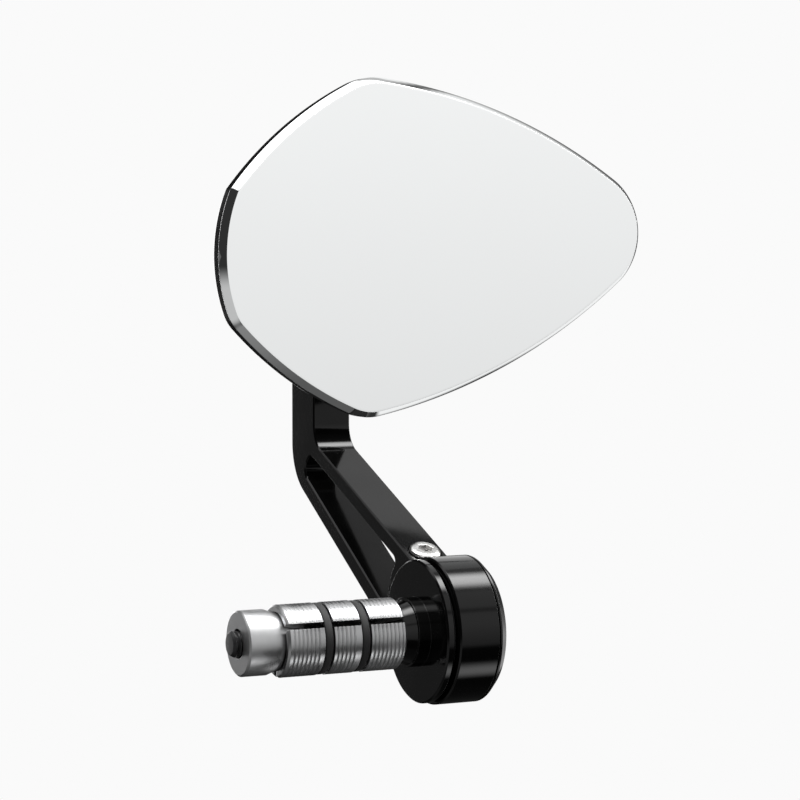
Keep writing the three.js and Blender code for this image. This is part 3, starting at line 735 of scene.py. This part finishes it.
def ball_stud():
    node = "ball_stud"
    bevel, lead = 0.5, 0.6
    end = high(node).y - BALL.y
    face = arm_front() - GAP - BALL.y
    front = face - COLLAR_LENGTH
    stations = sphere(BALL_RADIUS, -BALL_RADIUS, math.sqrt(BALL_RADIUS**2 - STUD_NECK**2), 28)
    stations += [(front - STUD_FLARE, STUD_NECK), (front, STUD_COLLAR - bevel)]
    stations += [(front + bevel, STUD_COLLAR), (face - bevel, STUD_COLLAR)]
    stations += [(face, STUD_COLLAR - bevel), (face, STUD_SHANK)]
    stations += [(end - lead, STUD_SHANK), (end, STUD_SHANK - lead), (end, 0)]
    stud = turned(
        "ball_and_stud", stations, BALL, Y_AXIS, 72, 0.15, (end - 10, end - 0.3, 0.8, 0.42)
    )
    stand_in(stud, node, STEEL)

    bore = STUD_SHANK + GAP
    front, back = low("stud_washer").y, high("stud_washer").y
    radius = (high("stud_washer").x - low("stud_washer").x) / 2
    at = Vector((BALL.x, 0, BALL.z))
    stations = [(front, bore), (front, radius), (back, radius), (back, bore)]
    ring = turned("flat_washer", stations, at, Y_AXIS, 64, 0.15)
    stand_in(ring, "stud_washer", STEEL)

    front, back = low("stud_nut").y, high("stud_nut").y
    corner = NUT_FLATS / math.sqrt(3)
    stations = [(front, 0), (front, NUT_FLATS / 2), (front + 0.35, corner), (back - 0.5, corner)]
    stations += [(back, NUT_FLATS / 2), (back, 0)]
    nut = turned("nut_body", stations, at, Y_AXIS, 96, 0.0)
    combined(nut, [prism("hexagon", NUT_FLATS, front - CUT, back + CUT, at, Y_AXIS)], "INTERSECT")
    hole = [(front - CUT, 0), (front - CUT, NUT_COUNTERSINK), (front + 0.5, bore)]
    hole += [(back - 0.5, bore), (back + CUT, NUT_COUNTERSINK), (back + CUT, 0)]
    combined(nut, [turned("bore", hole, at, Y_AXIS, 64, 0)])
    nut.name = "hex_nut"
    stand_in(nut, "stud_nut", STEEL, 0.1)


# ---------------------------------------------------------------- the arm

RING_RADIUS = 17.0
ARM_CHAMFER, FAR_CHAMFER = 0.36, 0.2
UPPER_BAR = {"angle": math.radians(22.7), "offset": 10.8, "side": 1}
LOWER_BAR = {"angle": math.radians(30.2), "offset": 13.9, "side": -1}
BAR_FILLET = 3.0
ELBOW_INNER, ELBOW_OUTER, TOP_ROUND = 7.0, 14.0, 5.0
ARM_BACK_DEPTH = 14.2
WINDOW_RING = 22.5
# The window's two upper corners: their Y, and their distance from the bars' middle lines.
WINDOW_UPPER, WINDOW_LOWER = (68.5, 6.9), (73.5, 9.6)
WINDOW_ELBOW_ROUND, WINDOW_RING_ROUND, WINDOW_END_ROUND = 2.6, 1.4, 14
SPIGOT_BORE = 12.85
STUD_HOLE, STUD_HOLE_CHAMFER = STUD_SHANK + GAP, 0.3
CLAMP_SLOT = 1.8
CLAMP_DISTANCE = 17.45  # along the upper bar, from the ring's middle
CLAMP_SEAT, CLAMP_SEAT_DEPTH, CLAMP_SEAT_ABOVE = 4.2, 1.0, 3.0
CLAMP_RADIUS, CLAMP_HOLE_DEPTH = 2.0, 27.8


def arm_front():
    return high("arm").y - ARM_BACK_DEPTH


def bar_along(bar):
    return cmath.rect(1, bar["angle"])


def bar_out(bar):
    return bar_along(bar) * 1j * bar["side"]


def bar_point(bar, distance, offset):
    return bar_along(bar) * distance + bar_out(bar) * offset


def bar_point_at(bar, y, offset):
    """The point of a bar at a given Y, on its face or at an offset from its middle line."""
    return bar_point(bar, (y - bar_out(bar).real * offset) / bar_along(bar).real, offset)


def bar_point_from(bar, radius, offset):
    return bar_point(bar, math.sqrt(radius**2 - offset**2), offset)


def bar_fillet(bar):
    middle = bar_point_from(bar, RING_RADIUS + BAR_FILLET, bar["offset"] + BAR_FILLET)
    to_bar, to_ring = cmath.phase(-bar_out(bar)), cmath.phase(-middle)
    return middle, short_arc(middle, BAR_FILLET, to_bar, to_ring)


def arm_outline():
    """The arm's outline in Y and Z, about the bar's axis."""
    upper, upper_points = bar_fillet(UPPER_BAR)
    lower, lower_points = bar_fillet(LOWER_BAR)
    back, front, top = high("arm").y, arm_front(), high("arm").z
    outer_elbow = bar_point_at(LOWER_BAR, back, LOWER_BAR["offset"])
    inner_elbow = bar_point_at(UPPER_BAR, front, UPPER_BAR["offset"])
    top_back, top_front = complex(back, top), complex(front, top)
    start, end = cmath.phase(upper), cmath.phase(lower) % TAU
    ring = arc(0, RING_RADIUS, start, end)[1:-1]
    return [
        *ring,
        *lower_points[::-1],
        *corner_arc(lower_points[0], outer_elbow, top_back, ELBOW_OUTER),
        *corner_arc(outer_elbow, top_back, top_front, TOP_ROUND),
        *corner_arc(top_back, top_front, inner_elbow, TOP_ROUND),
        *corner_arc(top_front, inner_elbow, upper_points[0], ELBOW_INNER),
        *upper_points,
    ]


def window_outline():
    upper_end = bar_point_at(UPPER_BAR, *WINDOW_UPPER)
    upper_start = bar_point_from(UPPER_BAR, WINDOW_RING, WINDOW_UPPER[1])
    lower_start = bar_point_from(LOWER_BAR, WINDOW_RING, WINDOW_LOWER[1])
    lower_end = bar_point_at(LOWER_BAR, *WINDOW_LOWER)
    middle = upper_start + lower_start
    middle *= WINDOW_RING**2 / (abs(middle) / 2) / abs(middle)
    corners = [
        (upper_end, WINDOW_ELBOW_ROUND),
        (upper_start, WINDOW_RING_ROUND),
        (middle, WINDOW_END_ROUND),
        (lower_start, WINDOW_RING_ROUND),
        (lower_end, WINDOW_ELBOW_ROUND),
    ]
    made = []
    for i, (corner, radius) in enumerate(corners):
        made += corner_arc(corners[i - 1][0], corner, corners[(i + 1) % 5][0], radius)
    return made


def area_of(outline):
    return sum((p.conjugate() * q).imag for p, q in zip(outline, outline[1:] + outline[:1])) / 2


def plate_piece(name, start, end, outer, hole, chamfer, far_chamfer):
    """A plate across X with a hole, its edges chamfered and the chamfers' edges slightly round."""
    width = end - start
    profile = [complex(0, 3 * chamfer), complex(0, chamfer), complex(chamfer, 0)]
    profile += [complex(width - far_chamfer, 0), complex(width, far_chamfer)]
    profile += [complex(width, 3 * chamfer)]
    profile = softened(profile, 0.12)[1:-1]
    points, faces, edges = [], [], []
    for outline, sign in ((outer, 1), (hole, -1)):
        if area_of(outline) < 0:
            outline = outline[::-1]
        normals = outward(outline)
        base, count = len(points), len(outline)
        for p in profile:
            moved = [q - n * p.imag * sign for q, n in zip(outline, normals)]
            points += [Vector((start + p.real, q.real, q.imag)) for q in moved]
        for k in range(len(profile) - 1):
            for i in range(count):
                a, b = base + k * count + i, base + k * count + (i + 1) % count
                faces.append([a, b, b + count, a + count])
        edges.append((base, base + (len(profile) - 1) * count, count))
    for side in (0, 1):
        loops = []
        for first, last, count in edges:
            begin = (first, last)[side]
            loops.append(list(range(begin, begin + count)))
        flat = [[Vector((points[v].y, points[v].z, 0)) for v in loop] for loop in loops]
        names = loops[0] + loops[1]
        faces += [[names[v] for v in tri] for tri in tessellate_polygon(flat)]
    return mesh_piece(name, points, faces)


def clamp_place():
    """Where the clamp screw enters the arm's upper face, and its direction into the arm."""
    start = bar_point(UPPER_BAR, CLAMP_DISTANCE, UPPER_BAR["offset"])
    out = bar_out(UPPER_BAR)
    return Vector((centre("arm").x, start.real, start.imag)), Vector((0, -out.real, -out.imag))


def arm():
    node = "arm"
    start, end = low(node).x, high(node).x
    plate = plate_piece("milled_arm", start, end, arm_outline(), window_outline(),
                        ARM_CHAMFER, FAR_CHAMFER)
    flared = SPIGOT_BORE + ARM_CHAMFER + CUT
    bore = turned(
        "bore",
        [(start - CUT, 0), (start - CUT, flared), (start + ARM_CHAMFER, SPIGOT_BORE),
         (end - ARM_CHAMFER, SPIGOT_BORE), (end + CUT, flared), (end + CUT, 0)],
        sides=160, rounding=0,
    )
    along = bar_along(UPPER_BAR)
    near, far = along * (SPIGOT_BORE - CUT), along * (WINDOW_RING + CUT)
    half = along * 1j * CLAMP_SLOT / 2
    slot_rings = [
        [Vector((x, p.real, p.imag)) for p in (near - half, far - half, far + half, near + half)]
        for x in (start - CUT, end + CUT)
    ]
    slot = skin("slot", slot_rings)
    at, aim = clamp_place()
    depth, bevel = CLAMP_SEAT_DEPTH, 0.2
    seat = turned(
        "seat",
        [(-CLAMP_SEAT_ABOVE, 0), (-CLAMP_SEAT_ABOVE, CLAMP_SEAT), (depth - bevel, CLAMP_SEAT),
         (depth, CLAMP_SEAT - bevel), (depth, 0)], at, aim, 64, 0,
    )
    shank = rod("shank", CLAMP_RADIUS + GAP, 0, CLAMP_HOLE_DEPTH, at, aim, sides=40)
    front, back, bevel = arm_front(), high(node).y, STUD_HOLE_CHAMFER
    mouth = STUD_HOLE + CUT + bevel
    stud = turned(
        "stud_hole",
        [(front - CUT, 0), (front - CUT, mouth), (front + bevel, STUD_HOLE),
         (back - bevel, STUD_HOLE), (back + CUT, mouth), (back + CUT, 0)],
        Vector((BALL.x, 0, BALL.z)), Y_AXIS, 48, 0,
    )
    combined(plate, [bore, slot, seat, shank, stud])
    stand_in(flat_faces_merged(plate), node, BLACK_MILLED, 0.1)


def clamp_screw():
    node = "clamp_screw"
    at, aim = clamp_place()
    head, crown, length = 3.8, 2.8, 20.0
    height, side, socket, socket_depth = 1.8, 0.9, 3.2, 1.2
    under = CLAMP_SEAT_DEPTH - GAP
    top = under - height
    stations = [(top, 0), (top, crown)]
    # The button head's rounded shoulder, from its flat top to its straight side.
    steps = 8
    for k in range(1, steps + 1):
        turn = math.pi / 2 * k / steps
        drop = (height - side) * (1 - math.cos(turn))
        stations.append((top + drop, crown + (head - crown) * math.sin(turn)))
    end, lead = under + length, 0.5
    stations += [(under, head), (under, CLAMP_RADIUS), (end - lead, CLAMP_RADIUS)]
    stations += [(end, CLAMP_RADIUS - lead), (end, 0)]
    screw = turned(
        "button_head_screw", stations, at, aim, 72, 0.08, (under + 4, end - 0.3, 0.7, 0.35)
    )
    combined(screw, [prism("socket", socket, top - CUT, top + socket_depth, at, aim)])
    stand_in(screw, node, STEEL, 0.06)


# ---------------------------------------------------------------- the hub, its cap and the expander

BOLT_RADIUS = 3.0
CONE_ANGLE = math.radians(20)
CONE_LARGE, CONE_SMALL = 7.4, 4.2
CONE_LENGTH = (CONE_LARGE - CONE_SMALL) / math.tan(CONE_ANGLE)
HUB_NECK, HUB_SPIGOT, HUB_COLLAR, HUB_CHAMFER = 8.0, 12.5, 2.0, 0.4
CAP_BOSS, CAP_RECESS, CAP_THICK, CAP_CHAMFER = 8.9, 5.5, 2.35, 1.9


def hub_parts():
    node = "bar_end_hub"
    bore = BOLT_RADIUS + GAP
    start, end = low(node).x, high(node).x
    collar = high(node).z
    boss = low("end_cap").x
    foot = start + CONE_LENGTH
    bevel, recess = HUB_CHAMFER, CAP_BOSS + GAP
    stations = [(start, bore), (start, CONE_SMALL), (foot, CONE_LARGE), (foot, HUB_NECK)]
    stations += [(0, HUB_NECK), (0, collar - bevel), (bevel, collar), (HUB_COLLAR - bevel, collar)]
    stations += [(HUB_COLLAR, collar - bevel), (HUB_COLLAR, HUB_SPIGOT), (end - bevel, HUB_SPIGOT)]
    stations += [(end, HUB_SPIGOT - bevel), (end, recess), (boss - GAP, recess), (boss - GAP, bore)]
    hub = turned("hub_body", stations, sides=160, rounding=0.1)
    stand_in(hub, node, BLACK_TURNED)

    node = "hub_seal"
    start, end, inner, outer = low(node).x, high(node).x, HUB_SPIGOT + GAP, high(node).z
    stations = [(start, inner), (start, outer), (end, outer), (end, inner)]
    seal = turned("seal_ring", stations, sides=128, rounding=0.1)
    stand_in(seal, node, RUBBER)

    node = "end_cap"
    face, radius, bevel = high(node).x, high(node).z, 0.5
    back = face - CAP_THICK
    washer_seat = low("bolt_washer").x - GAP
    stations = [(boss, bore), (boss, CAP_BOSS), (back, CAP_BOSS), (back, radius)]
    stations += [(face - CAP_CHAMFER, radius), (face, radius - CAP_CHAMFER)]
    stations += [(face, CAP_RECESS + bevel), (face - bevel, CAP_RECESS)]
    stations += [(washer_seat, CAP_RECESS), (washer_seat, bore)]
    cap = turned("turned_cap", stations, sides=160, rounding=0.16)
    stand_in(cap, node, BLACK_TURNED)

    node = "bolt_washer"
    start, end, outer = low(node).x, high(node).x, high(node).z
    stations = [(start, bore), (start, outer), (end, outer), (end, bore)]
    ring = turned("bolt_seat_washer", stations, sides=72, rounding=0.12)
    stand_in(ring, node, STEEL)


def expander_bolt():
    node = "expander_bolt"
    start, top, head = low(node).x, high(node).x, 5.0
    under, bevel, lead = top - head, 0.5, 0.6
    thread = (start + 0.4, -16, 1.0, 0.55)
    stations = [(start, 0), (start, BOLT_RADIUS - lead), (start + lead, BOLT_RADIUS)]
    stations += [(under, BOLT_RADIUS), (under, head), (top - bevel, head), (top, head - bevel)]
    bolt = turned("cap_bolt", stations + [(top, 0)], sides=72, rounding=0.12, thread=thread)
    socket = prism("socket", 5.0, top - 3.0, top + CUT)
    mouth = [(top - 0.5, 0), (top - 0.5, 2.4), (top + 0.5, 3.4), (top + 0.5, 0)]
    combined(bolt, [socket, turned("mouth", mouth, sides=64, rounding=0)])
    stand_in(bolt, node, BLACK_STEEL, 0.08)


def expander_cone():
    node = "expander_cone"
    bore = BOLT_RADIUS + GAP
    start, end = low(node).x, high(node).x
    large = end - CONE_LENGTH
    stations = [(start, bore), (start, CONE_LARGE - 0.4), (start + 0.4, CONE_LARGE)]
    stations += [(large, CONE_LARGE), (end, CONE_SMALL), (end, bore)]
    stand_in(turned("pull_cone", stations, sides=128), node, BARE)


JAW_RADIUS, JAW_INNER, JAW_SPLIT, JAW_BEVEL = 8.2, 3.6, 1.4, 0.5
JAW_CONE_REACH = 3.0
BAND_INNER, BAND_WIDTH, GROOVE = 7.3, 1.8, 6.5
SERRATION_PITCH, SERRATION_DEPTH, SERRATION_FLANK = 1.0, 0.18, 0.25


def jaw_profile(start, end):
    """The jaws' sleeve: a cone in each end, two band grooves, and fine grip lines between them."""
    seat = CONE_LARGE + GAP / math.cos(CONE_ANGLE)
    mouth = seat - JAW_CONE_REACH * math.tan(CONE_ANGLE)
    depth = (mouth - JAW_INNER) / math.tan(CONE_ANGLE)
    half = BAND_WIDTH / 2 + GAP
    grooves = [(centre(f"jaw_band_{i}").x - half, centre(f"jaw_band_{i}").x + half) for i in (2, 1)]
    stations = [(end, mouth), (end, JAW_RADIUS - JAW_BEVEL), (end + JAW_BEVEL, JAW_RADIUS)]
    clear = 0.6
    x = end + 2 * clear
    for stop, resume in [*grooves, (start + clear, None)]:
        while x + SERRATION_PITCH < stop - JAW_BEVEL:
            stations.append((x, JAW_RADIUS))
            stations.append((x + SERRATION_FLANK, JAW_RADIUS - SERRATION_DEPTH))
            stations.append((x + 2 * SERRATION_FLANK, JAW_RADIUS))
            x += SERRATION_PITCH
        if resume is not None:
            stations += [(stop, JAW_RADIUS), (stop, GROOVE), (resume, GROOVE), (resume, JAW_RADIUS)]
            x = resume + clear
    stations += [(start - JAW_BEVEL, JAW_RADIUS), (start, JAW_RADIUS - JAW_BEVEL), (start, mouth)]
    return stations + [(start - depth, JAW_INNER), (end + depth, JAW_INNER)]


def expander_jaws():
    for i in range(3):
        node = f"expander_jaw_{i + 1}"
        start, end = high(node).x, low(node).x
        sleeve = turned(f"grip_jaw_{i + 1}", jaw_profile(start, end), sides=144, rounding=0.06)
        angle = math.pi / 2 + TAU * i / 3
        tip = JAW_SPLIT / 2 / math.sin(math.pi / 3)
        reach = 2 * JAW_RADIUS
        side = cmath.rect(reach, math.pi / 3)
        corners = [complex(tip, 0), tip + side.conjugate(), complex(tip + reach, 0), tip + side]
        corners = [c * cmath.rect(1, angle) for c in corners]
        rings = [
            [Vector((x, c.real, c.imag)) for c in corners] for x in (end - CUT, start + CUT)
        ]
        combined(sleeve, [skin("wedge", rings)], "INTERSECT")
        stand_in(sleeve, node, BARE, 0.08)


def jaw_bands():
    # The section is a superellipse, a little squarer than an oval.
    squareness, steps = 0.7, 16
    for i in (1, 2):
        node = f"jaw_band_{i}"
        middle, radius = centre(node).x, high(node).z
        section = (radius - BAND_INNER) / 2
        stations = []
        for k in range(steps):
            turn = TAU * k / steps
            across = math.copysign(abs(math.cos(turn)) ** squareness, math.cos(turn))
            out = math.copysign(abs(math.sin(turn)) ** squareness, math.sin(turn))
            along = middle + BAND_WIDTH / 2 * across
            stations.append((along, BAND_INNER + section + section * out))
        band = turned(f"rubber_band_{i}", stations, sides=96, rounding=0)
        stand_in(band, node, RUBBER)


mirror_plate()
bonding_pad()
head_shell()
socket_parts()
ball_stud()
arm()
clamp_screw()
hub_parts()
expander_bolt()
expander_cone()
expander_jaws()
jaw_bands()


# ---------------------------------------------------------------- the studio and the camera

BACKDROP = grey(0.956)
# In metres. The mirror hangs on a bar, well above the floor.
FLOOR_DROP, FLOOR_RADIUS, FLOOR_SIDES = 0.28, 12.0, 96


def panel(s, value, start, end, soft):
    """1 between two values, falling off smoothly outside them."""
    rise = s.ramp(value, start - soft, start + soft)
    fall = s.ramp(value, end - soft, end + soft, 1.0, 0.0)
    return s.math("MULTIPLY", rise, fall)


AMBIENT = 0.03


def studio_light():
    """Soft panels round the bar's axis. The angle about that axis is 0 towards the rider, 90 overhead
    and 180 ahead, and below zero underneath. The lean is how far a direction points along the bar,
    and a panel that has a lean is kept to part of the bar's length.
    """
    world = bpy.data.worlds.new("studio")
    bpy.context.scene.world = world
    world.use_nodes = True
    s = Shading(world.node_tree)
    direction = s.node("TexCoord").outputs["Generated"]
    lean, ahead, up = s.node("SeparateXYZ", {0: direction}).outputs
    angle = s.math("ARCTAN2", up, s.math("MULTIPLY", ahead, -1.0))
    angle = s.math("MULTIPLY", angle, 180 / math.pi)
    not_far_left = s.ramp(lean, -0.85, -0.6)
    not_left = s.ramp(lean, -0.66, -0.46)
    from_front = s.math("ABSOLUTE", angle)
    front_level = s.ramp(angle, -20, 14, 0.52, 1.07, smooth=False)
    not_right = s.ramp(lean, 0.56, 0.5)
    middle = s.math("MULTIPLY", not_left, not_right)
    right = s.ramp(lean, 0.54, 0.6)
    below_level = s.ramp(lean, -0.55, -0.2, 0.2, 0.07)
    # Each row is a panel's shape, its level, and the leans that it is kept to.
    panels = [
        # From the rider's side up to overhead.
        (panel(s, angle, -20, 34, 4), front_level, not_far_left),
        (panel(s, angle, 38, 70, 5), 1.1, not_left),
        (panel(s, angle, 78, 101, 8), 16.0, not_left),
        # From overhead down to straight ahead.
        (panel(s, angle, 103, 126, 5), 1.3, panel(s, lean, -0.64, 0.1, 0.05)),
        (panel(s, angle, 101, 121, 5), 0.5, middle),
        (panel(s, angle, 121, 133, 4), 0.9, middle),
        (panel(s, angle, 137, 172, 5), 1.2, panel(s, lean, 0.41, 0.54, 0.03)),
        (s.ramp(angle, 116, 148, 0.88, 0.08), s.ramp(angle, 98, 104), right),
        (s.ramp(from_front, 150, 168), 0.09, s.ramp(lean, -0.1, -0.2)),
        (s.ramp(from_front, 162, 176), 4.0, panel(s, lean, -0.22, 0.34, 0.06)),
        # Underneath.
        (panel(s, angle, -69, -51, 8), 3.4, panel(s, lean, 0.2, 0.52, 0.04)),
        (panel(s, angle, -128, -95, 8), 0.9, panel(s, lean, 0.52, 0.7, 0.04)),
        (panel(s, angle, -168, -95, 8), 0.9, s.ramp(lean, 0.66, 0.74)),
        # The two ends, and straight down.
        (panel(s, up, -0.6, 0.4, 0.3), 1.6, s.ramp(lean, 0.84, 0.95)),
        (panel(s, up, -0.82, -0.17, 0.1), 0.5, s.ramp(lean, -0.55, -0.8)),
        (panel(s, up, -1.1, -0.8, 0.05), below_level, s.ramp(lean, 0.42, 0.3)),
    ]
    total = AMBIENT
    for shape, level, side in panels:
        total = s.math("ADD", s.math("MULTIPLY", s.math("MULTIPLY", shape, level), side), total)
    colour = s.node("CombineColor", {0: total, 1: total, 2: total}).outputs[0]
    light = s.node("Background", {"Color": colour}).outputs[0]
    # The camera sees the plain backdrop. Everything else is lit by the panels.
    backdrop = s.node("Background", {"Color": BACKDROP}).outputs[0]
    seen = s.node("LightPath").outputs["Is Camera Ray"]
    shown = s.node("MixShader", {0: seen, 1: light, 2: backdrop})
    s.node("OutputWorld", {"Surface": shown.outputs[0]})


def floor():
    """A wide pale floor, the same tone as the backdrop, open from below."""
    mesh = bpy.data.meshes.new("floor")
    height = cad_low.z - FLOOR_DROP
    turns = [TAU * i / FLOOR_SIDES for i in range(FLOOR_SIDES)]
    points = [(FLOOR_RADIUS * math.cos(a), FLOOR_RADIUS * math.sin(a), height) for a in turns]
    mesh.from_pydata(points, [], [list(range(FLOOR_SIDES))])
    ground = bpy.data.objects.new("floor", mesh)
    bpy.context.scene.collection.objects.link(ground)
    ground.visible_glossy = ground.visible_diffuse = False
    material = bpy.data.materials.new("pale_floor")
    material.use_nodes = True
    s = Shading(material.node_tree)
    pale = s.node("Emission", {"Color": BACKDROP}).outputs[0]
    clear = s.node("BsdfTransparent").outputs[0]
    below = s.node("NewGeometry").outputs["Backfacing"]
    shown = s.node("MixShader", {0: below, 1: pale, 2: clear})
    s.node("OutputMaterial", {"Surface": shown.outputs[0]})
    mesh.materials.append(material)


CAMERA_PLACE = (-0.2458, -0.5086, 0.0824)
CAMERA_YAW, CAMERA_PITCH = math.radians(25.42), math.radians(2.95)
CAMERA_LENS = 111.28


def camera():
    data = bpy.data.cameras.new("camera")
    data.lens = CAMERA_LENS
    data.clip_start, data.clip_end = 0.01, 100
    made = bpy.data.objects.new("camera", data)
    bpy.context.scene.collection.objects.link(made)
    flat = cmath.rect(math.cos(CAMERA_PITCH), CAMERA_YAW)
    forward = Vector((flat.imag, flat.real, -math.sin(CAMERA_PITCH)))
    made.location = CAMERA_PLACE
    made.rotation_mode = "QUATERNION"
    made.rotation_quaternion = forward.to_track_quat("-Z", "Y")
    bpy.context.scene.camera = made


studio_light()
floor()
camera()
bpy.context.scene.view_settings.view_transform = "Standard"
